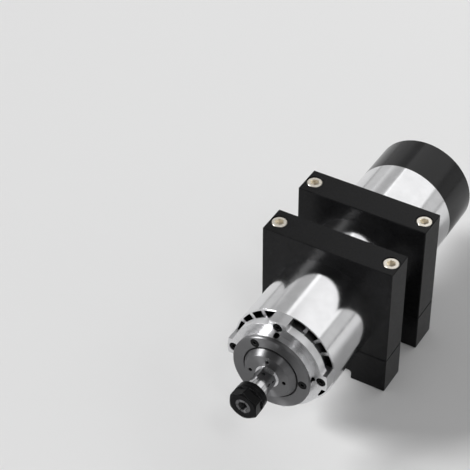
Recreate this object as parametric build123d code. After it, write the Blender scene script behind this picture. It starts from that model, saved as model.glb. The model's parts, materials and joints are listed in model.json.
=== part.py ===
from build123d import *
import os
from math import cos, pi, radians, sin, sqrt, tan

# A motor spindle held in two split clamps. Millimetres.
# The origin lies on the mounting plane under the clamps' feet, midway between the clamps.
# The spindle's axis runs along Y, and its nose points to -Y. An angle about that axis is
# measured from +X towards +Z. Spindle pieces are drawn with their axis on Y, then lifted.

# Fits and clearances
seat_fit = 0.02            # radial, between pieces that sit in one another
screw_fit = 0.1            # radial, round the shank of a screw in a plain hole
head_fit = 0.25            # radial, round the head of a screw in its counterbore
thread_fit = 0.02          # radial, between the plain cylinders that stand for a thread
ball_gap = 0.15            # between a ball and its raceways
air_gap = 0.4              # radial, between rotor and stator
taper_gap = 0.1            # between the collet and the taper of the shaft

# Clamps
body_radius = 32.5         # outside of the motor sleeve
clamp_length = 20.0        # along the axis
clamp_pitch = 43.5         # between the middles of the two clamps
clamp_wall_top = 10.0      # above the bore
clamp_wall_below = 18.0    # from the feet to the bore
bolt_wall = 1.15           # between the bore and a bolt hole
rim_wall = 0.5             # between a counterbore and the side of the clamp
split_rise = 7.0           # of the split plane above the lowest line of the bore
split_gap = 0.4
clamp_edge = 0.4           # chamfer
foot_gap = 40.0            # between the two feet of a clamp
foot_height = 6.5
foot_fillet = 2.0
mount_hole_inset = 14.5    # from the side of the clamp to a mounting hole
mount_hole_depth = 13.0
mount_hole_radius = 3.0

# Fasteners: radius of the shank, radius and height of the head, width of the hex socket
m6_radius, m6_head_radius, m6_head_height, m6_socket = 3.0, 5.0, 6.0, 5.0
m4_radius, m4_head_radius, m4_head_height, m4_socket = 2.0, 3.5, 2.6, 2.5
m3_radius, m3_head_radius, m3_head_height, m3_socket = 1.5, 2.75, 3.0, 2.5
flat_head_radius, flat_head_socket = 2.9, 2.0
clamp_thread_engagement = 8.4
rail_thread_engagement = 10.5
cap_thread_engagement = 2.2

# Motor sleeve, an extruded tube with rails and ribs inside it
sleeve_wall = 1.0
channel_depth = 5.3        # of the cooling channels, between the sleeve's wall and the stator
rail_width = 10.0
rib_width = 2.2
rib_pitch = 17.5           # degrees
sleeve_overhang = 48.25    # from the front clamp to the front end of the sleeve
rail_screw_offset = 0.35   # of the screws in the rails, inwards from the middle of the channel

# Front housing and its cap
lug_width = 11.0
lug_reach = 8.75           # from the end of the sleeve to the face of the lugs
lug_fillet = 2.0           # between a lug and the hub
hub_length = 5.4           # from the face of the lugs to the rear
hub_flare = 2.8            # from the stator's radius; the hub throws the air outwards
boss_wall = 7.4            # round the front bearings
boss_height = 5.0
front_wall = 3.0           # behind the front bearings
lug_counterbore = 3.3
corner_hole_radius = 1.8   # slanted drillings at the foot of the boss
corner_hole_depth = 5.0
corner_hole_rise = 1.0     # of their axis, in front of the face of the lugs
cap_rim = 1.4              # of the cap, beyond the boss
cap_plate = 2.4
cap_recess_depth = 1.75
cap_recess_gap = 0.8       # radial, round the slinger
cap_recess_bevel = 0.25
cap_spigot = 1.75
cap_screw_inset = 2.7      # from the edge of the boss
cap_bevel = 0.5

# Bearings: bore radius, outer radius, width, number of balls
front_bore, front_outer, front_width, front_balls = 7.5, 16.0, 9.0, 11
rear_bore, rear_outer, rear_width, rear_balls = 6.0, 14.0, 8.0, 8
ball_radius = 2.38
cage_half_height = 1.0
cage_side = 1.0            # from the face of the bearing to the cage
preload_height = 1.2
preload_sheet = 0.4

# Motor
core_length = 85.0
slot_count = 18
slot_width = 2.4
slot_mouth = 1.2
slot_depth = 7.5
tooth_tip = 1.2
stator_yoke = 3.1          # behind the slots
slot_liner = 0.1
end_turn_length = 19.0
end_turn_gap = 2.0         # to the housings
end_turn_inset = 2.2       # from the outside of the stator
end_turn_round = 2.5
rotor_wall = 5.5           # between the rotor's seat and its surface
rotor_bars = 22
rotor_bar_radius = 1.1
rotor_bar_depth = 2.0      # from the rotor's surface to the middle of a bar
end_ring_length = 7.0

# Shaft and slinger
slinger_reach = 3.9        # in front of the bearing cap
slinger_rim = 16.8
slinger_tip = 14.6
slinger_gap = 0.4          # to the cap
labyrinth_gap = 0.8
spanner_hole_radius = 1.25
spanner_hole_circle = 10.9
spanner_hole_depth = 2.5
neck_length = 16.1         # from the slinger to the collet nut
neck_radius = 6.5
flat_width = 10.9          # across the two wrench flats
flat_length = 8.2
flat_angle = 78.0
collar_step = 1.0          # of the collar, beyond the rotor's seat
collar_length = 8.0
tail_radius = 4.0
bearing_inset = 2.0        # rear bearing, from the front of its housing
rear_housing_length = 17.5

# Collet and nut
nut_radius = 9.5
nut_flats = 17.0
nut_length = 11.3
nut_collar = 5.0           # round, behind the flats
nut_skirt = 2.8            # of the collar, a step smaller
nut_step = 0.25
nut_bevel = 1.6
nose_radius = 7.0          # outside of the thread
nose_setback = 4.3         # from the front of the nut to the end of the shaft
nose_relief = 0.8          # from the thread's rear end to the nut's rear end
nut_thread_gap = 0.15
collet_radius = 5.75
collet_length = 18.0
collet_bore = 3.0
collet_recess = 0.4        # behind the front of the nut
collet_rim = 4.75
collet_rim_length = 1.2
collet_groove = 4.1
collet_groove_length = 1.0
collet_land = 0.5
collet_cone = 30.0         # degrees, at the front
collet_taper = 8.0         # degrees, at the rear
collet_slots = 6
collet_slot = 0.4
collet_turn = 7.5          # degrees, from +X to the first slot
collet_bridge = 3.0
collet_nut_gap = 0.25
taper_depth = 16.0
relief_radius = 3.2
relief_length = 12.0

# Rear housing, fan and cover
rear_wall = 3.5
hub_wall = 3.0
spigot_wall = 2.5
rear_flange = 4.0
flange_gap = 0.2
web_hole_land = 1.15       # between a hole and the hub or the rim
web_holes = 8
fan_gap = 2.0
fan_length = 8.0
fan_clearance = 1.8        # to the columns of the cover
fan_hub = 8.5
fan_blades = 9
blade_angle = 38.0
blade_thickness = 1.3
washer_thickness = 1.0
fan_screw_length = 10.0
cover_wall = 1.6
cover_end_wall = 3.0
cover_room = 13.5          # behind the fan
cover_bevel = 0.6
column_radius = 3.7
column_seat = 3.5
vent_count = 20
vent_width = 2.6
vent_land = 3.0            # between the connector's flange and the vents
vent_inset = 0.5           # from the reach of the fan

# Panel connector and leads
connector_radius = 7.5
connector_flange = 9.5
connector_flange_length = 2.0
connector_length = 9.0
connector_wall = 1.4
connector_tail = 5.5       # inside the cover
connector_nut_flats = 19.0
connector_nut_length = 3.0
insulator_length = 5.0
pin_radius = 0.8
pin_circle = 3.2
pin_front = 0.7            # each pin sticks out of the insulator's inner face
pin_rear = 6.0
lead_radius = 0.9
lead_bend = 2.0
lead_gap = 0.9             # between a lead and the stator
lead_reach = 4.0           # of a lead along the end turns
lead_count = 3

# Radii that follow from the sizes above
channel_outer = body_radius - sleeve_wall
core_radius = channel_outer - channel_depth
rail_screw_radius = (core_radius + channel_outer) / 2 - rail_screw_offset
hub_rim_radius = core_radius + hub_flare
boss_radius = front_outer + boss_wall
cap_radius = boss_radius + cap_rim
cap_screw_radius = boss_radius - cap_screw_inset
stator_bore = core_radius - stator_yoke - slot_depth - tooth_tip
rotor_radius = stator_bore - air_gap
rotor_seat = rotor_radius - rotor_wall
collar_radius = rotor_seat + collar_step
end_turn_outer = core_radius - end_turn_inset
fan_radius = rail_screw_radius - column_radius - fan_clearance
vent_inner = connector_flange + vent_land
vent_outer = fan_radius - vent_inset
lead_circle = core_radius + lead_gap + lead_radius

# Places along the axis, from the clamps to the nose
axis_height = clamp_wall_below + body_radius
clamp_height = axis_height + body_radius + clamp_wall_top
split_height = clamp_wall_below + split_rise
bolt_x = body_radius + bolt_wall + m6_radius + screw_fit
clamp_width = 2 * (bolt_x + m6_head_radius + head_fit + rim_wall)
sleeve_front = -(clamp_pitch + clamp_length) / 2 - sleeve_overhang
ring_face = sleeve_front - lug_reach
boss_front = ring_face - boss_height
cap_front = boss_front - cap_plate
front_bearing_1 = boss_front + cap_spigot
front_bearing_2 = front_bearing_1 + front_width
front_shoulder = front_bearing_2 + front_width
front_housing_rear = front_shoulder + front_wall
slinger_face = cap_front - slinger_reach
nut_rear = slinger_face - neck_length
nut_front = nut_rear - nut_length
nose_front = nut_front + nose_setback

# Places along the axis, from the nose to the tail
core_front = front_housing_rear + end_turn_gap + end_turn_length
core_rear = core_front + core_length
rear_housing_front = core_rear + end_turn_length + end_turn_gap
sleeve_rear = rear_housing_front + rear_housing_length
rear_bearing = rear_housing_front + bearing_inset
rear_bearing_end = rear_bearing + rear_width
preload_seat = rear_bearing_end + preload_height
rear_wall_end = preload_seat + rear_wall
flange_rear = sleeve_rear + rear_flange
fan_front = flange_rear + fan_gap
fan_rear = fan_front + fan_length
cover_inner_end = fan_rear + cover_room
cover_rear = cover_inner_end + cover_end_wall
cover_seat = flange_rear + column_seat

lug_angles = [0, 90, 180, 270]
rib_angles = [lug + 45 + step * rib_pitch for lug in lug_angles for step in (-1, 0, 1)]
lead_angles = [lug + 45 - rib_pitch / 2 for lug in lug_angles]
front_pitch_radius = (front_bore + front_outer) / 2
rear_pitch_radius = (rear_bore + rear_outer) / 2
shoulder_offset = 0.7 * ball_radius
slinger_hub = front_pitch_radius - shoulder_offset
cover_inner = body_radius - cover_wall


def turned(profile):
    """A solid turned about the Y axis, from its (radius, y) corners."""
    return revolve(make_face(Polyline(*profile, close=True)), axis=Axis.Y)


def tube(outer, inner, front, rear):
    return turned([(inner, front), (outer, front), (outer, rear), (inner, rear)])


def rod(radius, front, rear, distance=0.0):
    """A cylinder along Y, at a distance from the axis."""
    return Pos(distance, (front + rear) / 2, 0) * Rot(90, 0, 0) * Cylinder(radius, rear - front)


def slab(outline, front, rear):
    """An outline drawn in X and Z, extruded along Y."""
    solid = extrude(outline, (rear - front) / 2, both=True)
    return Pos(0, (front + rear) / 2, 0) * Rot(90, 0, 0) * solid


def spun(shape, angle):
    """The shape turned about the Y axis."""
    return Rot(0, -angle, 0) * shape


def around(shape, angles):
    return [spun(shape, angle) for angle in angles]


def evenly(count):
    return [index * 360 / count for index in range(count)]


def hexagon(flats):
    return RegularPolygon(flats / 2, 6, major_radius=False)


def socket_screw(radius, length, head_radius, head_height, socket):
    """A socket-head screw: the head stands on z = 0 and the shank hangs below."""
    edge = 0.1 * head_radius
    head = Pos(0, 0, head_height / 2) * Cylinder(head_radius, head_height)
    head = chamfer(head.edges().group_by(Axis.Z)[-1], edge)
    shank = Pos(0, 0, -length / 2) * Cylinder(radius, length)
    recess = Pos(0, 0, head_height / 2) * extrude(hexagon(socket), head_height / 2)
    return head + shank - recess


def facing_front(shape):
    return Rot(90, 0, 0) * shape


def facing_rear(shape):
    return Rot(-90, 0, 0) * shape


# Clamps

def clamp_block(bottom, top):
    block = Pos(0, 0, (bottom + top) / 2) * Box(clamp_width, clamp_length, top - bottom)
    block = chamfer(block.edges(), clamp_edge)
    bore = Pos(0, 0, axis_height) * rod(body_radius + seat_fit, -clamp_length, clamp_length)
    return block - bore


def upright(radius, bottom, top, x):
    return Pos(x, 0, (bottom + top) / 2) * Cylinder(radius, top - bottom)


bolt_seat = clamp_height - m6_head_height - clamp_edge
bolt_length = bolt_seat - split_height + clamp_thread_engagement


def clamp_base():
    recess = slab(RectangleRounded(foot_gap, 2 * foot_height, foot_fillet), -clamp_length, clamp_length)
    base = clamp_block(0, split_height) - recess
    mount_x = clamp_width / 2 - mount_hole_inset
    thread_bottom = split_height - clamp_thread_engagement - 2 * m6_radius / 3
    for side in (-1, 1):
        base -= upright(m6_radius + thread_fit, thread_bottom, split_height, side * bolt_x)
        base -= upright(mount_hole_radius, 0, mount_hole_depth, side * mount_x)
    return base


def clamp_upper():
    bottom = split_height + split_gap
    upper = clamp_block(bottom, clamp_height)
    for side in (-1, 1):
        upper -= upright(m6_radius + screw_fit, bottom, clamp_height, side * bolt_x)
        upper -= upright(m6_head_radius + head_fit, bolt_seat, clamp_height, side * bolt_x)
    return upper


def clamp_bolts():
    screw = socket_screw(m6_radius, bolt_length, m6_head_radius, m6_head_height, m6_socket)
    return [Pos(side * bolt_x, 0, bolt_seat) * screw for side in (-1, 1)]


# Motor sleeve and front housing

lug_screw_seat = ring_face + lug_counterbore
lug_screw_length = sleeve_front - lug_screw_seat + rail_thread_engagement
cover_screw_length = cover_seat - sleeve_rear + rail_thread_engagement


def motor_sleeve():
    sleeve = tube(body_radius, channel_outer, sleeve_front, sleeve_rear)
    length = sleeve_rear - sleeve_front
    middle = (sleeve_rear + sleeve_front) / 2
    bars = [spun(Pos(core_radius, middle, 0) * Box(body_radius, length, rib_width), angle)
            for angle in rib_angles]
    bars += [spun(Pos(core_radius, middle, 0) * Box(body_radius, length, rail_width), angle)
             for angle in lug_angles]
    channel = tube(body_radius - sleeve_wall / 2, core_radius + seat_fit, sleeve_front, sleeve_rear)
    sleeve += [channel & bar for bar in bars]
    front_hole = rod(m3_radius + thread_fit, sleeve_front, sleeve_front + rail_thread_engagement + 1,
                     rail_screw_radius)
    rear_hole = rod(m3_radius + thread_fit, sleeve_rear - rail_thread_engagement - 1, sleeve_rear,
                    rail_screw_radius)
    return sleeve - around(front_hole, lug_angles) - around(rear_hole, lug_angles)


def lug_corners(hub_rear):
    """The two fillets between the lug at angle 0 and the hub."""
    centre_radius = hub_rim_radius + lug_fillet
    rise = lug_width / 2 + lug_fillet
    reach = sqrt(centre_radius ** 2 - rise ** 2)
    width = rise * hub_rim_radius / centre_radius - lug_width / 2
    corners = Sketch()
    for side in (-1, 1):
        middle = side * (lug_width + width) / 2
        block = Pos((core_radius + reach) / 2, middle) * Rectangle(reach - core_radius, width)
        corners += block - Pos(reach, side * rise) * Circle(lug_fillet)
    return slab(corners, ring_face, hub_rear)


def front_housing():
    bore = front_outer + seat_fit
    lip = front_outer - hub_wall
    hub_rear = ring_face + hub_length
    body = turned([
        (bore, boss_front), (boss_radius, boss_front), (boss_radius, ring_face),
        (hub_rim_radius, ring_face), (hub_rim_radius, hub_rear), (core_radius, sleeve_front),
        (core_radius, front_housing_rear), (lip, front_housing_rear), (lip, front_shoulder),
        (bore, front_shoulder)])
    middle = (ring_face + sleeve_front) / 2
    lug = Pos(body_radius, middle, 0) * Box(body_radius, lug_reach, lug_width)
    lug &= tube(body_radius, boss_radius, ring_face, sleeve_front)
    body += around(lug, lug_angles)
    body += around(lug_corners(hub_rear), lug_angles)
    hole = rod(m3_radius + screw_fit, ring_face, sleeve_front, rail_screw_radius)
    hole += rod(m3_head_radius + head_fit, ring_face, lug_screw_seat, rail_screw_radius)
    slant = Rot(0, 0, -45) * Rot(0, 90, 0) * Cylinder(corner_hole_radius, 2 * corner_hole_depth)
    drilling = Pos(boss_radius, ring_face - corner_hole_rise, 0) * slant
    body -= around(hole, lug_angles) + around(drilling, lug_angles)
    thread = rod(m3_radius + thread_fit, boss_front, boss_front + cap_thread_engagement + seat_fit,
                 cap_screw_radius)
    return body - around(thread, evenly(3))


def front_housing_screws():
    screw = socket_screw(m3_radius, lug_screw_length, m3_head_radius, m3_head_height, m3_socket)
    placed = Pos(rail_screw_radius, lug_screw_seat, 0) * facing_front(screw)
    return around(placed, lug_angles)


flat_head_height = flat_head_radius - m3_radius


def front_bearing_cap():
    recess = slinger_rim + cap_recess_gap
    lip = slinger_hub + labyrinth_gap
    web = cap_front + cap_recess_depth
    spigot_inner = front_pitch_radius + shoulder_offset
    spigot_rear = front_bearing_1
    cap = turned([
        (recess, cap_front + cap_recess_bevel), (recess + cap_recess_bevel, cap_front),
        (cap_radius - cap_bevel, cap_front), (cap_radius, cap_front + cap_bevel),
        (cap_radius, boss_front), (front_outer - seat_fit, boss_front),
        (front_outer - seat_fit, spigot_rear), (spigot_inner, spigot_rear),
        (spigot_inner, boss_front), (lip, boss_front), (lip, web), (recess, web)])
    return cap - around(flat_screw_room(), evenly(3))


def flat_screw_room():
    """The countersunk hole for one screw of the bearing cap."""
    sink = turned([(0, cap_front), (flat_head_radius + thread_fit, cap_front),
                   (m3_radius + screw_fit, cap_front + flat_head_height), (0, cap_front + flat_head_height)])
    hole = rod(m3_radius + screw_fit, cap_front, boss_front, cap_screw_radius)
    return Pos(cap_screw_radius, 0, 0) * sink + hole


def bearing_cap_screws():
    tip = boss_front + cap_thread_engagement
    screw = turned([(0, cap_front), (flat_head_radius, cap_front),
                    (m3_radius, cap_front + flat_head_height), (m3_radius, tip), (0, tip)])
    recess = slab(hexagon(flat_head_socket), cap_front, cap_front + flat_head_height)
    return around(Pos(cap_screw_radius, 0, 0) * (screw - recess), evenly(3))


# Bearings

def bearing_rings(front, width, bore, outer, pitch_radius):
    """The inner and the outer ring of a ball bearing."""
    groove = Pos(0, front + width / 2, 0) * Rot(90, 0, 0) * Torus(pitch_radius, ball_radius + ball_gap)
    inner = tube(pitch_radius - shoulder_offset, bore + seat_fit, front, front + width) - groove
    outer = tube(outer, pitch_radius + shoulder_offset, front, front + width) - groove
    return inner, outer


def bearing_balls(front, width, pitch_radius, count):
    ball = Pos(pitch_radius, front + width / 2, 0) * Sphere(ball_radius)
    return around(ball, evenly(count))


def bearing_cage(front, width, pitch_radius, count):
    cage = tube(pitch_radius + cage_half_height, pitch_radius - cage_half_height,
                front + cage_side, front + width - cage_side)
    pocket = Pos(pitch_radius, front + width / 2, 0) * Rot(0, 90, 0) * Sphere(ball_radius + ball_gap)
    return cage - around(pocket, evenly(count))


def preload_washer():
    """A conical spring washer that pushes on the outer ring of the rear bearing."""
    outer = rear_outer - preload_sheet
    inner = rear_pitch_radius + cage_half_height
    return turned([(inner, preload_seat - preload_sheet), (outer, rear_bearing_end),
                   (outer, rear_bearing_end + preload_sheet), (inner, preload_seat)])


# Motor

def stator_core():
    outline = Circle(core_radius) - Circle(stator_bore)
    root = stator_bore + tooth_tip
    body = Pos(root + slot_depth / 2, 0) * Rectangle(slot_depth, slot_width)
    mouth = Pos(root - tooth_tip / 2, 0) * Rectangle(2 * tooth_tip, slot_mouth)
    slot = body + mouth
    outline -= [Rot(0, 0, angle) * slot for angle in evenly(slot_count)]
    return slab(outline, core_front, core_rear)


def stator_windings():
    """The copper in the slots and the two rings of end turns, as one bundle."""
    inner = stator_bore + tooth_tip + slot_liner
    bar = Pos(inner + slot_depth / 2 - slot_liner, 0)
    bar *= Rectangle(slot_depth - 2 * slot_liner, slot_width - 2 * slot_liner)
    bars = Sketch() + [Rot(0, 0, angle) * bar for angle in evenly(slot_count)]
    copper = slab(bars, core_front - end_turn_round, core_rear + end_turn_round)
    for front, rear in ((core_front - end_turn_length, core_front), (core_rear, core_rear + end_turn_length)):
        bundle = tube(end_turn_outer, inner, front, rear)
        copper += fillet(bundle.edges(), end_turn_round)
    return copper


def rotor_bar_places():
    circle = rotor_radius - rotor_bar_depth
    return [Rot(0, 0, angle) * Pos(circle, 0) for angle in evenly(rotor_bars)]


def rotor_core():
    outline = Circle(rotor_radius) - Circle(rotor_seat + seat_fit)
    outline -= [place * Circle(rotor_bar_radius + seat_fit) for place in rotor_bar_places()]
    return slab(outline, core_front, core_rear)


def rotor_cage():
    """The cast bars and end rings of the rotor."""
    bars = Sketch() + [place * Circle(rotor_bar_radius) for place in rotor_bar_places()]
    cage = slab(bars, core_front - end_ring_length / 2, core_rear + end_ring_length / 2)
    outer = rotor_radius - air_gap
    inner = collar_radius + air_gap
    cage += tube(outer, inner, core_front - end_ring_length, core_front)
    cage += tube(outer, inner, core_rear, core_rear + end_ring_length)
    return cage


# Shaft, slinger, collet and nut

def spindle_shaft():
    mouth = collet_radius + taper_gap / cos(radians(collet_taper))
    mouth -= (nose_front - collet_shoulder()) * tan(radians(collet_taper))
    throat = mouth - taper_depth * tan(radians(collet_taper))
    taper_end = nose_front + taper_depth
    thread_rear = nut_rear - nose_relief
    tail_end = fan_rear - tail_radius / 4
    shaft = turned([
        (mouth, nose_front), (nose_radius, nose_front), (nose_radius, thread_rear),
        (neck_radius, thread_rear), (neck_radius, slinger_face), (front_bore, slinger_face),
        (front_bore, front_shoulder), (collar_radius, front_shoulder),
        (collar_radius, front_shoulder + collar_length), (rotor_seat, front_shoulder + collar_length),
        (rotor_seat, rear_bearing), (rear_bore, rear_bearing), (rear_bore, rear_bearing_end),
        (tail_radius, rear_bearing_end), (tail_radius, tail_end), (0, tail_end),
        (0, taper_end + relief_length), (relief_radius, taper_end + relief_length),
        (relief_radius, taper_end), (throat, taper_end)])
    shaft -= rod(m4_radius + thread_fit, fan_rear + washer_thickness - fan_screw_length - 1, tail_end)
    flat_middle = slinger_face - flat_length / 2 - seat_fit
    for side in (-1, 1):
        waste = Pos(0, flat_middle, side * (flat_width / 2 + nose_radius))
        waste *= Box(4 * nose_radius, flat_length, 2 * nose_radius)
        shaft -= spun(waste, flat_angle - 90)
    return shaft


def slinger_nut():
    cone_foot = cap_front - slinger_gap / 2
    rim_rear = cap_front + cap_recess_depth - slinger_gap
    bore = front_bore + seat_fit
    nut = turned([
        (bore, slinger_face), (slinger_tip, slinger_face), (slinger_rim, cone_foot),
        (slinger_rim, rim_rear), (slinger_hub, rim_rear), (slinger_hub, front_bearing_1),
        (bore, front_bearing_1)])
    hole = rod(spanner_hole_radius, slinger_face, slinger_face + spanner_hole_depth, spanner_hole_circle)
    return nut - around(hole, lug_angles)


def collet_front():
    return nut_front + collet_recess


def collet_cone_start():
    return collet_front() + collet_rim_length + collet_groove_length


def collet_cone_end():
    step = collet_radius - collet_rim - taper_gap
    return collet_cone_start() + step / tan(radians(collet_cone))


def collet_shoulder():
    """Where the rear taper of the collet starts."""
    return collet_cone_end() + collet_land


def collet():
    front = collet_front()
    groove = front + collet_rim_length
    rear = front + collet_length
    small = collet_radius - (rear - collet_shoulder()) * tan(radians(collet_taper))
    body = turned([
        (collet_bore, front), (collet_rim, front), (collet_rim, groove), (collet_groove, groove),
        (collet_groove, collet_cone_start()), (collet_rim + taper_gap, collet_cone_start()),
        (collet_radius, collet_cone_end()), (collet_radius, collet_shoulder()),
        (small, rear), (collet_bore, rear)])
    length = collet_length - collet_bridge
    blade = Box(2 * collet_radius, length, collet_slot)
    front_cut = Pos(collet_radius, front + length / 2, 0) * blade
    rear_cut = Pos(collet_radius, rear - length / 2, 0) * blade
    body -= around(spun(front_cut, collet_turn), evenly(collet_slots))
    body -= around(spun(rear_cut, collet_turn + 180 / collet_slots), evenly(collet_slots))
    return body


def collet_nut():
    bore = nose_radius + nut_thread_gap
    lip = collet_groove + collet_nut_gap
    lip_front = collet_front() + collet_rim_length + collet_nut_gap
    cone_lip = collet_cone_start() - collet_nut_gap
    cone_inner = collet_rim + taper_gap + collet_nut_gap
    nose_room = nose_front - 2 * collet_nut_gap
    cone_outer = cone_inner + (nose_room - cone_lip) * tan(radians(collet_cone))
    bevel_end = nut_front + nut_bevel * tan(radians(collet_cone))
    blank = turned([(0, nut_front), (nut_radius - nut_bevel, nut_front), (nut_radius, bevel_end),
                    (nut_radius, nut_rear), (0, nut_rear)])
    hexed = slab(Rot(0, 0, 30) * hexagon(nut_flats), nut_front, nut_rear - nut_collar)
    collar = rod(nut_radius, nut_rear - nut_collar, nut_rear - nut_skirt)
    collar += rod(nut_radius - nut_step, nut_rear - nut_skirt, nut_rear)
    inside = turned([
        (0, nut_front), (collet_rim + collet_nut_gap, nut_front),
        (collet_rim + collet_nut_gap, lip_front), (lip, lip_front), (lip, cone_lip),
        (cone_inner, cone_lip), (cone_outer, nose_room), (bore, nose_room),
        (bore, nut_rear), (0, nut_rear)])
    return (blank & (hexed + collar)) - inside


# Rear housing, fan and cover

def rear_housing():
    bore = rear_outer + seat_fit
    hub = rear_outer + hub_wall
    ring = core_radius - spigot_wall
    hole = rear_bore + screw_fit + labyrinth_gap
    body = turned([
        (bore, rear_bearing), (hub, rear_bearing), (hub, preload_seat), (ring, preload_seat),
        (ring, rear_housing_front), (core_radius, rear_housing_front), (core_radius, flange_rear),
        (ring, flange_rear), (ring, rear_wall_end), (hole, rear_wall_end), (hole, preload_seat),
        (bore, preload_seat)])
    middle = (sleeve_rear + flange_rear) / 2
    ear = Pos(body_radius, middle, 0) * Box(body_radius, rear_flange, rail_width)
    ear &= tube(cover_inner - flange_gap, ring, sleeve_rear, flange_rear)
    body += around(ear, lug_angles)
    screw_hole = rod(m3_radius + screw_fit, sleeve_rear, flange_rear, rail_screw_radius)
    web_hole_radius = (ring - hub) / 2 - web_hole_land
    web_hole = rod(web_hole_radius, preload_seat, rear_wall_end, (hub + ring) / 2)
    return body - around(screw_hole, lug_angles) - around(web_hole, evenly(web_holes))


def fan_spacer():
    return tube(rear_bore, tail_radius + seat_fit, rear_bearing_end, fan_front)


def cooling_fan():
    bore = tail_radius + seat_fit
    fan = tube(fan_hub, bore, fan_front, fan_rear)
    swept = tube(fan_radius, fan_hub - 1, fan_front, fan_rear)
    middle = (fan_front + fan_rear) / 2
    blade = Rot(90 - blade_angle, 0, 0) * Box(2 * fan_radius, 3 * fan_length, blade_thickness)
    blade = swept & (Pos(fan_radius + fan_hub / 2, middle, 0) * blade)
    return fan + around(blade, evenly(fan_blades))


def fan_washer():
    return tube(fan_hub - 1, m4_radius + screw_fit, fan_rear, fan_rear + washer_thickness)


def fan_screw():
    screw = socket_screw(m4_radius, fan_screw_length, m4_head_radius, m4_head_height, m4_socket)
    return Pos(0, fan_rear + washer_thickness, 0) * facing_rear(screw)


def fan_cover():
    cup = turned([
        (cover_inner, sleeve_rear), (body_radius, sleeve_rear),
        (body_radius, cover_rear - cover_bevel), (body_radius - cover_bevel, cover_rear),
        (0, cover_rear), (0, cover_inner_end), (cover_inner, cover_inner_end)])
    column = rod(column_radius, flange_rear, cover_inner_end, rail_screw_radius)
    column &= rod(body_radius - cover_wall / 2, flange_rear, cover_inner_end)
    cup += around(column, lug_angles)
    hole = rod(m3_radius + screw_fit, flange_rear, cover_rear, rail_screw_radius)
    hole += rod(m3_head_radius + head_fit, cover_seat, cover_rear, rail_screw_radius)
    vent = Pos((vent_inner + vent_outer) / 2, (cover_inner_end + cover_rear) / 2, 0)
    vent *= Box(vent_outer - vent_inner, 2 * cover_end_wall, vent_width)
    cup -= around(hole, lug_angles) + around(vent, evenly(vent_count))
    return cup - rod(connector_radius + screw_fit, cover_inner_end, cover_rear)


def fan_cover_screws():
    screw = socket_screw(m3_radius, cover_screw_length, m3_head_radius, m3_head_height, m3_socket)
    return around(Pos(rail_screw_radius, cover_seat, 0) * facing_rear(screw), lug_angles)


# Panel connector and leads

connector_front = cover_inner_end - connector_tail
flange_end = cover_rear + connector_flange_length
connector_end = flange_end + connector_length
insulator_rear = connector_front + insulator_length
connector_bore = connector_radius - connector_wall


def connector_shell():
    return turned([
        (connector_bore, connector_front), (connector_radius, connector_front),
        (connector_radius, cover_rear), (connector_flange, cover_rear),
        (connector_flange, flange_end), (connector_radius, flange_end),
        (connector_radius, connector_end), (connector_bore, connector_end)])


def connector_insulator():
    disc = rod(connector_bore - seat_fit, connector_front, insulator_rear)
    hole = rod(pin_radius + seat_fit, connector_front, insulator_rear, pin_circle)
    return disc - around(hole, lead_angles)


def connector_pins():
    pin = rod(pin_radius, connector_front - pin_front, insulator_rear + pin_rear, pin_circle)
    return around(pin, lead_angles)


def connector_nut():
    front = cover_inner_end - connector_nut_length
    nut = slab(hexagon(connector_nut_flats), front, cover_inner_end)
    return nut - rod(connector_radius + thread_fit, front, cover_inner_end)


def lead_wires():
    """Each lead runs from a pin, out behind the fan, along a cooling channel to the end turns."""
    start = connector_front - pin_front
    turn = start - lead_bend
    end = core_rear + end_turn_length - lead_reach
    corners = [(pin_circle, start), (pin_circle, turn - seat_fit), (lead_circle, turn - seat_fit),
               (lead_circle, end), (end_turn_outer, end)]
    path = FilletPolyline(*[(radius, y, 0) for radius, y in corners], radius=lead_bend)
    run = sweep(Plane(origin=path @ 0, z_dir=path % 0) * Circle(lead_radius), path=path)
    return around(run, lead_angles[:lead_count])


# Output

def lifted(shape):
    return Pos(0, 0, axis_height) * shape


def save(name, shape):
    shapes = shape if isinstance(shape, list) else [shape]
    solids = [solid for item in shapes for solid in item.solids()]
    export_step(solids[0] if len(solids) == 1 else Compound(children=solids), f"parts/{name}.step")


def save_clamps():
    for name, y in (("front", -clamp_pitch / 2), ("rear", clamp_pitch / 2)):
        save(f"{name}_clamp_base", Pos(0, y, 0) * clamp_base())
        save(f"{name}_clamp_upper", Pos(0, y, 0) * clamp_upper())
        save(f"{name}_clamp_bolts", [Pos(0, y, 0) * bolt for bolt in clamp_bolts()])


def save_bearing(name, front, width, bore, outer, pitch_radius, count):
    inner_ring, outer_ring = bearing_rings(front, width, bore, outer, pitch_radius)
    save(f"{name}_inner_ring", lifted(inner_ring))
    save(f"{name}_outer_ring", lifted(outer_ring))
    save(f"{name}_balls", [lifted(ball) for ball in bearing_balls(front, width, pitch_radius, count)])
    save(f"{name}_cage", lifted(bearing_cage(front, width, pitch_radius, count)))


def save_bearings():
    front = (front_width, front_bore, front_outer, front_pitch_radius, front_balls)
    rear = (rear_width, rear_bore, rear_outer, rear_pitch_radius, rear_balls)
    save_bearing("front_bearing_a", front_bearing_1, *front)
    save_bearing("front_bearing_b", front_bearing_2, *front)
    save_bearing("rear_bearing", rear_bearing, *rear)


pieces = [
    motor_sleeve, front_housing, front_housing_screws, front_bearing_cap, bearing_cap_screws,
    preload_washer, stator_core, stator_windings, rotor_core, rotor_cage, spindle_shaft,
    slinger_nut, collet, collet_nut, rear_housing, fan_spacer, cooling_fan, fan_washer, fan_screw,
    fan_cover, fan_cover_screws, connector_shell, connector_insulator, connector_pins,
    connector_nut, lead_wires]

os.makedirs("parts", exist_ok=True)
save_clamps()
save_bearings()
for piece in pieces:
    made = piece()
    save(piece.__name__, [lifted(item) for item in made] if isinstance(made, list) else lifted(made))
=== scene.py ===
import json
from math import cos, pi, radians, sin

import bmesh
import bpy
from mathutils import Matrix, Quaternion, Vector


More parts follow.
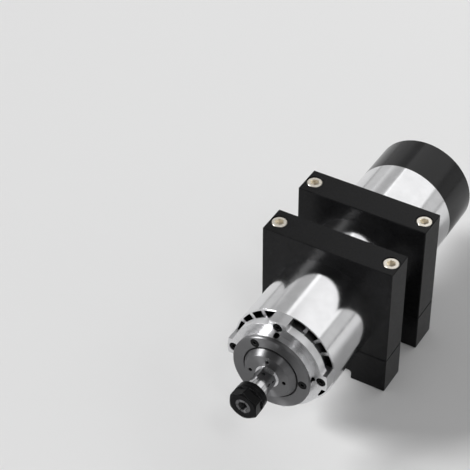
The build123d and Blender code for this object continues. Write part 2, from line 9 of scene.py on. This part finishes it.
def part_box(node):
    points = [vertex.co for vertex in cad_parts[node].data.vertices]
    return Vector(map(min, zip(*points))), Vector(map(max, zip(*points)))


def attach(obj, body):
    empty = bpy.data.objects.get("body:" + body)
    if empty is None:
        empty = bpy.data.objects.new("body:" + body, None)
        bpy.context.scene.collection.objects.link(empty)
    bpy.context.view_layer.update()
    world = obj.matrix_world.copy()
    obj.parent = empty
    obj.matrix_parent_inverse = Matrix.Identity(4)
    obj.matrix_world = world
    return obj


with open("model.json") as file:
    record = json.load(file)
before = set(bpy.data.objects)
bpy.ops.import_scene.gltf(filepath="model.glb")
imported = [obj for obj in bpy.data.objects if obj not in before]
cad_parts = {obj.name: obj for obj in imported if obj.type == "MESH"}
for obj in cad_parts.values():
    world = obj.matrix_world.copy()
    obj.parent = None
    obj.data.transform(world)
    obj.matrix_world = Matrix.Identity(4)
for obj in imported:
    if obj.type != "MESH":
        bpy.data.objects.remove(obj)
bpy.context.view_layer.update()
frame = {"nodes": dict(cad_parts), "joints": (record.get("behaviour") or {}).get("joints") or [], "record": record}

MM = 0.001                 # in metres
spin = next(joint for joint in frame["joints"] if joint["name"] == "spindle_spin")
AXIS_HEIGHT = spin["pos_m"][2]


# Node helpers. Sizes are in metres, and a noise has features of 1 / scale metres.

BEVEL_SAMPLES = 4
OCCLUSION_SAMPLES = 8
EDGE_COLOUR_COSINE = 0.80         # between the rounded and the flat normal, where an edge takes its full lighter colour: worn coating, and on black oxide partly a painted highlight
WHOLE_COSINE = 0.985       # and where a face keeps its own colour
WAVE_LENGTH = 0.31         # of a wave texture whose scale is 1
PAINTED_HOLLOW_SHADE = 0.03        # share of a metal's colour left deep in its holes: painted shade


def tint(color, share):
    """The colour, with each part at that share of its level."""
    return tuple(part * share for part in color)


class Nodes:
    """A small builder of node materials."""

    def __init__(self, name):
        self.material = bpy.data.materials.new(name)
        self.material.use_nodes = True
        self.tree = self.material.node_tree
        self.shader = self.tree.nodes["Principled BSDF"]
        self.coordinates = self.node("ShaderNodeTexCoord").outputs["Object"]

    def node(self, kind, **settings):
        made = self.tree.nodes.new(kind)
        for key, value in settings.items():
            setattr(made, key, value)
        return made

    def link(self, source, socket):
        self.tree.links.new(source, socket)

    def set(self, **values):
        """Sets numbers on the shader's own sockets, whose names have a space for each _."""
        for key, value in values.items():
            self.shader.inputs[key.replace("_", " ")].default_value = value

    def noise(self, scale, detail=3.0, stretch=(1, 1, 1)):
        """Noise over the object's own coordinates."""
        mapping = self.node("ShaderNodeMapping")
        mapping.inputs["Scale"].default_value = stretch
        self.link(self.coordinates, mapping.inputs["Vector"])
        noise = self.node("ShaderNodeTexNoise")
        noise.inputs["Scale"].default_value = scale
        noise.inputs["Detail"].default_value = detail
        self.link(mapping.outputs["Vector"], noise.inputs["Vector"])
        return noise.outputs["Fac"]

    def rings(self, scale, detail):
        """Noise that changes only with the distance from the spindle's axis."""
        noise = self.node("ShaderNodeTexNoise", noise_dimensions="1D")
        noise.inputs["Scale"].default_value = scale
        noise.inputs["Detail"].default_value = detail
        self.link(self.radius(), noise.inputs["W"])
        return noise.outputs["Fac"]

    def sheets(self, pitch):
        """A wave along the Y axis."""
        wave = self.node("ShaderNodeTexWave", bands_direction="Y")
        wave.inputs["Scale"].default_value = WAVE_LENGTH / pitch
        self.link(self.coordinates, wave.inputs["Vector"])
        return wave.outputs["Fac"]

    def radius(self):
        """The distance from the spindle's axis."""
        moved = self.node("ShaderNodeVectorMath", operation="SUBTRACT")
        moved.inputs[1].default_value = (0, 0, AXIS_HEIGHT)
        self.link(self.coordinates, moved.inputs[0])
        flat = self.node("ShaderNodeVectorMath", operation="MULTIPLY")
        flat.inputs[1].default_value = (1, 0, 1)
        self.link(moved.outputs["Vector"], flat.inputs[0])
        length = self.node("ShaderNodeVectorMath", operation="LENGTH")
        self.link(flat.outputs["Vector"], length.inputs[0])
        return length.outputs["Value"]

    def between(self, factor, low, high, start=0.3, end=0.7):
        """The factor mapped from start..end, where most of a noise lies, to low..high."""
        ranged = self.node("ShaderNodeMapRange")
        for key, value in (("From Min", start), ("From Max", end),
                           ("To Min", low), ("To Max", high)):
            ranged.inputs[key].default_value = value
        self.link(factor, ranged.inputs["Value"])
        return ranged.outputs["Result"]

    def math(self, operation, first, second):
        """The sum, product or the like of two sockets."""
        made = self.node("ShaderNodeMath", operation=operation)
        self.link(first, made.inputs[0])
        self.link(second, made.inputs[1])
        return made.outputs["Value"]

    def mix(self, factor, first, second):
        """The first where the factor is 0, the second where it is 1. Each is a colour or a socket."""
        mixed = self.node("ShaderNodeMix", data_type="RGBA")
        self.link(factor, mixed.inputs["Factor"])
        for socket, value in ((mixed.inputs["A"], first), (mixed.inputs["B"], second)):
            if isinstance(value, tuple):
                socket.default_value = (*value, 1)
            else:
                self.link(value, socket)
        return mixed.outputs["Result"]

    def patchy(self, color, patches, low, high):
        """The colour, in patches from the share low to the share high of its level."""
        return self.mix(self.between(patches, 0, 1), tint(color, low), tint(color, high))

    def uneven(self, roughness, patches, share):
        """The roughness, which differs by that share from patch to patch."""
        return self.between(patches, roughness * (1 - share), roughness * (1 + share))

    def rounded(self, radius):
        """The normal of edges that are broken by a radius."""
        bevel = self.node("ShaderNodeBevel", samples=BEVEL_SAMPLES)
        bevel.inputs["Radius"].default_value = radius
        return bevel.outputs["Normal"]

    def edges(self, radius):
        """1 on the edges, 0 elsewhere."""
        flat = self.node("ShaderNodeNewGeometry").outputs["Normal"]
        dot = self.node("ShaderNodeVectorMath", operation="DOT_PRODUCT")
        self.link(self.rounded(radius), dot.inputs[0])
        self.link(flat, dot.inputs[1])
        return self.between(dot.outputs["Value"], 1, 0, start=EDGE_COLOUR_COSINE, end=WHOLE_COSINE)

    def painted_shade_mask(self, depth, open_at, alone=True):
        """1 where more than the share open_at of the view is free, down to 0 at a third of it. The metals paint
        shade into their holes by this mask.

        Only the piece itself closes the view, unless alone is False.
        """
        occlusion = self.node("ShaderNodeAmbientOcclusion", samples=OCCLUSION_SAMPLES,
                              only_local=alone)
        occlusion.inputs["Distance"].default_value = depth
        return self.between(occlusion.outputs["AO"], 0, 1, start=open_at / 3, end=open_at)

    def bump(self, height, strength, distance, normal=None):
        """The normal of a surface with that relief."""
        bump = self.node("ShaderNodeBump")
        bump.inputs["Strength"].default_value = strength
        bump.inputs["Distance"].default_value = distance
        self.link(height, bump.inputs["Height"])
        if normal is not None:
            self.link(normal, bump.inputs["Normal"])
        return bump.outputs["Normal"]

    def finish(self, color, roughness, normal):
        """The material, with these sockets linked to its shader."""
        for socket, value in (("Base Color", color), ("Roughness", roughness), ("Normal", normal)):
            self.link(value, self.shader.inputs[socket])
        return self.material


# Kinds of material

def turned_metal(name, color, roughness, anisotropy, depth=5 * MM, open_at=0.36):
    """Metal from the lathe: rings round the axis, and highlights that fan out across them."""
    made = Nodes(name)
    quarter_turn = 0.25
    made.set(Metallic=1.0, Anisotropic=anisotropy, Anisotropic_Rotation=quarter_turn)
    tangent = made.node("ShaderNodeTangent", direction_type="RADIAL", axis="Y")
    made.link(tangent.outputs["Tangent"], made.shader.inputs["Tangent"])
    rings = made.rings(scale=2600, detail=2)
    patches = made.noise(scale=180, detail=4)
    shade = made.patchy(color, patches, low=0.93, high=1.04)
    # Painted shade: the colour goes nearly black deep in holes and where other parts close round it.
    shade = made.mix(made.painted_shade_mask(depth, open_at, alone=False), tint(color, PAINTED_HOLLOW_SHADE), shade)
    rough = made.math("ADD", made.between(rings, low=-0.03, high=0.03),
                      made.uneven(roughness, patches, share=0.1))
    normal = made.bump(rings, strength=0.25, distance=0.01 * MM, normal=made.rounded(0.12 * MM))
    return made.finish(shade, rough, normal)


def ground_metal(name, color, roughness, grain=0.15, edge=0.12 * MM, stretch=(1, 1, 1),
                 depth=3 * MM, open_at=0.36):
    """Plated, ground or polished metal."""
    made = Nodes(name)
    made.set(Metallic=1.0)
    patches = made.noise(scale=140, detail=4)
    fine = made.noise(scale=5200, detail=2, stretch=stretch)
    shade = made.patchy(color, patches, low=0.94, high=1.03)
    # Painted shade: the colour goes nearly black deep in the piece's own holes and sockets.
    shade = made.mix(made.painted_shade_mask(depth, open_at), tint(color, PAINTED_HOLLOW_SHADE), shade)
    rough = made.math("ADD", made.between(fine, low=-0.02, high=0.02),
                      made.uneven(roughness, patches, share=0.12))
    normal = made.bump(fine, strength=grain, distance=0.01 * MM, normal=made.rounded(edge))
    return made.finish(shade, rough, normal)


def coated(name, color, roughness, grain=0.3, edge=0.2 * MM, edge_colour=(0.09, 0.09, 0.095),
           specular=0.5):
    """Anodised, oxidised or plastic surfaces, lighter along their edges where the coating is worn; on black oxide
    that lighter edge is partly a painted highlight.
    """
    made = Nodes(name)
    made.set(Specular_IOR_Level=specular)
    patches = made.noise(scale=90, detail=5)
    fine = made.noise(scale=3600)
    edge_breakup = made.between(made.noise(scale=700), low=0.3, high=1)
    shade = made.patchy(color, patches, low=0.85, high=1.2)
    # Lighter colour along the edges: worn coating, and on black oxide partly a painted edge highlight.
    shade = made.mix(made.math("MULTIPLY", made.edges(edge), edge_breakup), shade, edge_colour)
    rough = made.math("ADD", made.between(fine, low=-0.05, high=0.05),
                      made.uneven(roughness, patches, share=0.1))
    normal = made.bump(fine, strength=grain, distance=0.02 * MM, normal=made.rounded(edge))
    return made.finish(shade, rough, normal)


def layered(name, color, roughness, metallic, pitch):
    """Stacked sheets or wound wire: fine lines across the Y axis."""
    made = Nodes(name)
    made.set(Metallic=metallic)
    lines = made.sheets(pitch)
    shade = made.mix(lines, tint(color, 0.6), tint(color, 1.1))
    rough = made.uneven(roughness, made.noise(scale=300), share=0.15)
    normal = made.bump(lines, strength=0.5, distance=0.05 * MM)
    return made.finish(shade, rough, normal)


# Materials, by their slots

# depth and open_at set how far the painted shade reaches into each metal's holes.
materials = {
    "black_anodised": coated(
        "black_anodised", (0.005, 0.005, 0.0054), roughness=0.27, grain=0.2,
        edge_colour=(0.04, 0.04, 0.042), specular=0.15),
    "bolt_steel": ground_metal(
        "bolt_steel", (0.86, 0.81, 0.72), roughness=0.28, depth=1.2 * MM),
    "polished_sleeve": ground_metal(
        "polished_sleeve", (0.78, 0.78, 0.79), roughness=0.14, grain=0.05, edge=0.1 * MM,
        stretch=(1, 0.05, 1), depth=8 * MM, open_at=0.6),
    "machined_aluminium": turned_metal(
        "machined_aluminium", (0.72, 0.72, 0.73), roughness=0.30, anisotropy=0.8, depth=8 * MM,
        open_at=0.42),
    "dark_turned": turned_metal(
        "dark_turned", (0.16, 0.16, 0.164), roughness=0.42, anisotropy=0.85),
    "bright_steel": ground_metal(
        "bright_steel", (0.66, 0.66, 0.67), roughness=0.11),
    # The light edge colour of black oxide is partly bare steel and partly a painted highlight on the edges.
    "black_oxide": coated(
        "black_oxide", (0.003, 0.003, 0.0033), roughness=0.22, edge=0.15 * MM,
        edge_colour=(0.25, 0.25, 0.255), specular=0.07),
    "black_plastic": coated(
        "black_plastic", (0.004, 0.004, 0.0044), roughness=0.19, grain=0.2,
        edge_colour=(0.015, 0.015, 0.015), specular=0.30),
    "laminations": layered(
        "laminations", (0.33, 0.33, 0.35), roughness=0.5, metallic=0.8, pitch=0.5 * MM),
    "winding": layered(
        "winding", (0.55, 0.22, 0.08), roughness=0.35, metallic=0.6, pitch=0.8 * MM),
    "cast_aluminium": ground_metal(
        "cast_aluminium", (0.66, 0.66, 0.67), roughness=0.45, grain=0.5),
    "bearing_steel": ground_metal(
        "bearing_steel", (0.72, 0.72, 0.74), roughness=0.12, grain=0.05),
    "cage_resin": coated(
        "cage_resin", (0.33, 0.19, 0.07), roughness=0.5, edge_colour=(0.42, 0.27, 0.12)),
    "insulation": coated(
        "insulation", (0.05, 0.05, 0.055), roughness=0.45),
    "contact_brass": ground_metal(
        "contact_brass", (0.83, 0.62, 0.27), roughness=0.22),
    "wire_skin": coated(
        "wire_skin", (0.28, 0.02, 0.012), roughness=0.5, edge_colour=(0.35, 0.05, 0.03)),
}

for part in frame["record"]["subparts"]:
    node = frame["nodes"][part["node"]]
    for material_slot in node.material_slots:
        material_slot.material = materials[part["material_slot"]]


# New objects

def add(name, data):
    """An object of the scene, with that mesh, lamp or camera."""
    made = bpy.data.objects.new(name, data)
    bpy.context.scene.collection.objects.link(made)
    return made


def aim(made, place, target, roll=0):
    """Puts a lamp or the camera in its place and turns it to the target."""
    facing = (Vector(target) - Vector(place)).to_track_quat("-Z", "Y")
    made.location = place
    made.rotation_euler = (facing @ Quaternion((0, 0, 1), roll)).to_euler()


# Pieces that only the visual model has

def thread(name, body, slot, root, crest, pitch, start, end):
    """A helical ridge round the spindle's axis, whose ends run out into the cylinder.

    root and crest are radii, start and end are places on the Y axis.
    """
    steps_per_turn = 60
    run_out = steps_per_turn / 2
    half_foot = 0.46 * pitch
    half_top = 0.07 * pitch
    count = int((end - start) / pitch * steps_per_turn)
    ridge = bmesh.new()
    rows = []
    for index in range(count + 1):
        angle = 2 * pi * index / steps_per_turn
        y = start + (end - start) * index / count
        fade = min(1, index / run_out, (count - index) / run_out)
        top = root + (crest - root) * fade
        corners = ((root, y - half_foot), (top, y - half_top),
                   (top, y + half_top), (root, y + half_foot))
        x, z = cos(angle), sin(angle)
        rows.append([ridge.verts.new((radius * x, place, AXIS_HEIGHT + radius * z))
                     for radius, place in corners])
    for first, second in zip(rows, rows[1:]):
        for corner in range(4):
            after = (corner + 1) % 4
            ridge.faces.new((first[corner], first[after], second[after], second[corner]))
    ridge.faces.new(rows[0])
    ridge.faces.new(list(reversed(rows[-1])))
    bmesh.ops.recalc_face_normals(ridge, faces=ridge.faces)
    mesh = bpy.data.meshes.new(name)
    ridge.to_mesh(mesh)
    ridge.free()
    mesh.materials.append(materials[slot])
    piece = add(name, mesh)
    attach(piece, body)


nose_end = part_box("spindle_shaft")[0].y
thread("nose_thread", "spindle", "bright_steel", root=6.90 * MM, crest=7.08 * MM,
       pitch=0.75 * MM, start=nose_end + 0.5 * MM, end=nose_end + 5.8 * MM)

connector_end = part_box("connector_shell")[1].y
thread("connector_thread", "housing", "bright_steel", root=7.35 * MM, crest=7.75 * MM,
       pitch=1.0 * MM, start=connector_end - 8.0 * MM, end=connector_end - 0.8 * MM)


# Floor

def floor(size, drop, color, roughness):
    """A plain square, a little lower than the feet so that it doesn't share their plane."""
    material = bpy.data.materials.new("floor")
    material.use_nodes = True
    shader = material.node_tree.nodes["Principled BSDF"]
    shader.inputs["Base Color"].default_value = (*color, 1)
    shader.inputs["Roughness"].default_value = roughness
    mesh = bpy.data.meshes.new("floor")
    half = size / 2
    corners = [(-half, -half, 0), (half, -half, 0), (half, half, 0), (-half, half, 0)]
    mesh.from_pydata(corners, [], [(0, 1, 2, 3)])
    mesh.materials.append(material)
    made = add("floor", mesh)
    made.location.z = -drop


floor(size=12, drop=0.1 * MM, color=(0.82, 0.82, 0.82), roughness=0.9)


# Light: a soft sun, four soft boxes and a grey sky

LAMP_TARGET = (0, 0, 0.05)


def lamp(name, kind, place, **settings):
    """A lamp in its place, in metres, that shines at the object."""
    light = bpy.data.lights.new(name, kind)
    for key, value in settings.items():
        setattr(light, key, value)
    aim(add(name, light), place, LAMP_TARGET)


def softbox(name, place, width, height, power):
    """A lamp with an even face, whose power is in watts."""
    lamp(name, "AREA", place, shape="RECTANGLE", size=width, size_y=height, energy=power)


lamp("key", "SUN", (-1.90, -1.04, 1.17), angle=0.34, energy=3.5)
softbox("back", (0.52, 1.92, 1.73), width=3.0, height=1.4, power=13.2)
softbox("back_left", (-1.22, 1.74, 1.55), width=1.0, height=1.4, power=1.6)
softbox("right", (2.10, 0.20, 1.45), width=1.2, height=1.2, power=4.4)
softbox("fill", (1.08, -0.84, 2.01), width=0.48, height=0.48, power=4)


def grey(level):
    """That level of grey, as a colour of a ramp."""
    return (level, level, level, 1)


def sky():
    """A world that is pale in a band above the horizon and dark overhead.

    The ramp's positions are the sines of heights above the horizon.
    """
    world = bpy.data.worlds.new("studio")
    world.use_nodes = True
    nodes, links = world.node_tree.nodes, world.node_tree.links
    direction = nodes.new("ShaderNodeTexCoord")
    height = nodes.new("ShaderNodeSeparateXYZ")
    ramp = nodes.new("ShaderNodeValToRGB")
    links.new(direction.outputs["Generated"], height.inputs["Vector"])
    links.new(height.outputs["Z"], ramp.inputs["Fac"])
    links.new(ramp.outputs["Color"], nodes["Background"].inputs["Color"])
    steps = ramp.color_ramp.elements
    steps[0].color = grey(0.36)
    steps[1].color = grey(0.12)
    steps[1].position = 0.47
    for position in (0.08, 0.31):
        steps.new(position).color = grey(0.65)
    return world


bpy.context.scene.world = sky()
bpy.context.scene.view_settings.view_transform = "Standard"


# Camera, where the photo was taken from

camera = bpy.data.cameras.new("camera")
camera.sensor_width = 36.0
camera.lens = 128.249
camera.clip_start = 0.05
camera.clip_end = 50
viewer = add("camera", camera)
aim(viewer, place=(0.328761, -0.685803, 0.724533), target=(-0.078716, -0.002511, AXIS_HEIGHT),
    roll=radians(-0.3083))
bpy.context.scene.camera = viewer
